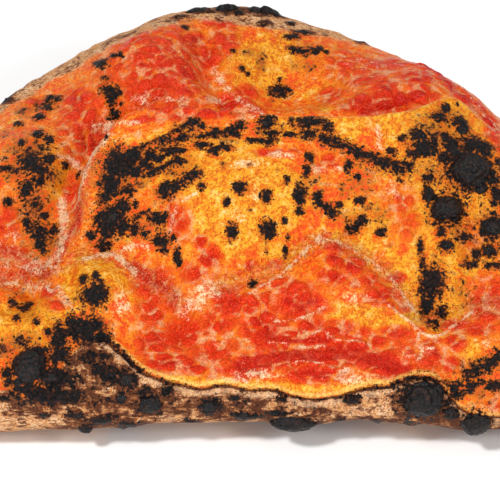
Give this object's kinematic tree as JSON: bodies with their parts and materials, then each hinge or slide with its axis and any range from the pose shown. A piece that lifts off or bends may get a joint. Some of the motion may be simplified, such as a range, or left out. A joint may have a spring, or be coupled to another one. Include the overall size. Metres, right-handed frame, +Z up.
{
  "type": "calzone",
  "caption": "Baked half-moon calzone, a folded and sealed pizza pocket with a puffed, sauced and charred top crust.",
  "frame": {"origin": "on the table, under the middle of the bounding box", "axes": "+X from tip to tip along the fold, +Y from the straight fold at the front to the curved rim at the back, +Z up"},
  "size_m": [0.28, 0.1696, 0.0616],
  "materials": {
    "baked_dough": "baked dough under a thin layer of tomato sauce, satin, browned and charred in spots"
  },
  "bodies": {
    "root": {"calzone": "baked_dough"}
  },
  "joints": []
}
